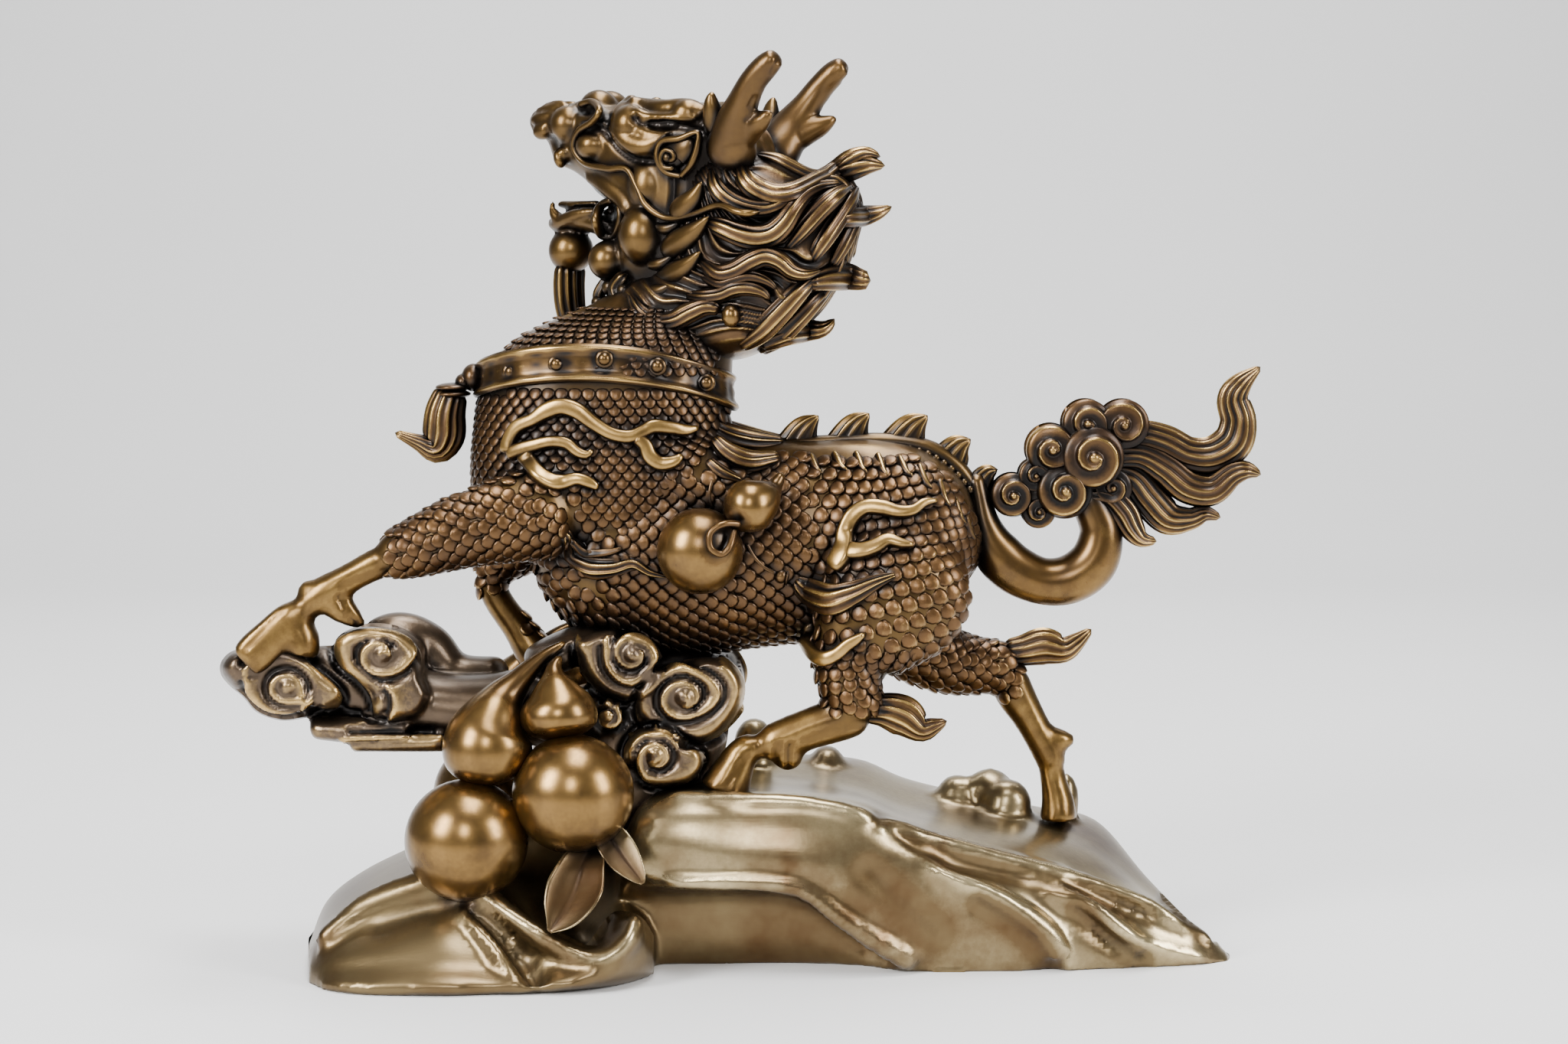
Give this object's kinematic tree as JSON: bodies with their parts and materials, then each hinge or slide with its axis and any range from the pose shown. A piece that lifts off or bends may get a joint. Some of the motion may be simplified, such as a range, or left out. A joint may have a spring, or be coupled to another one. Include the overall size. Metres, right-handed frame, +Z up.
{
  "type": "cast brass qilin figure",
  "caption": "Striding horned qilin with a flowing mane and a scrolled tail, cast in one with a rock base, clouds and bottle gourds.",
  "frame": {"origin": "on the flat underside, below the middle of the body", "axes": "+X towards the tail, +Z up, -Y towards the side that carries the most carving"},
  "size_m": [0.4799, 0.199, 0.4159],
  "materials": {
    "antique_brass": "cast, dark patina rubbed bright on the high places"
  },
  "bodies": {
    "root": {"qilin_figure": "antique_brass"}
  },
  "joints": []
}
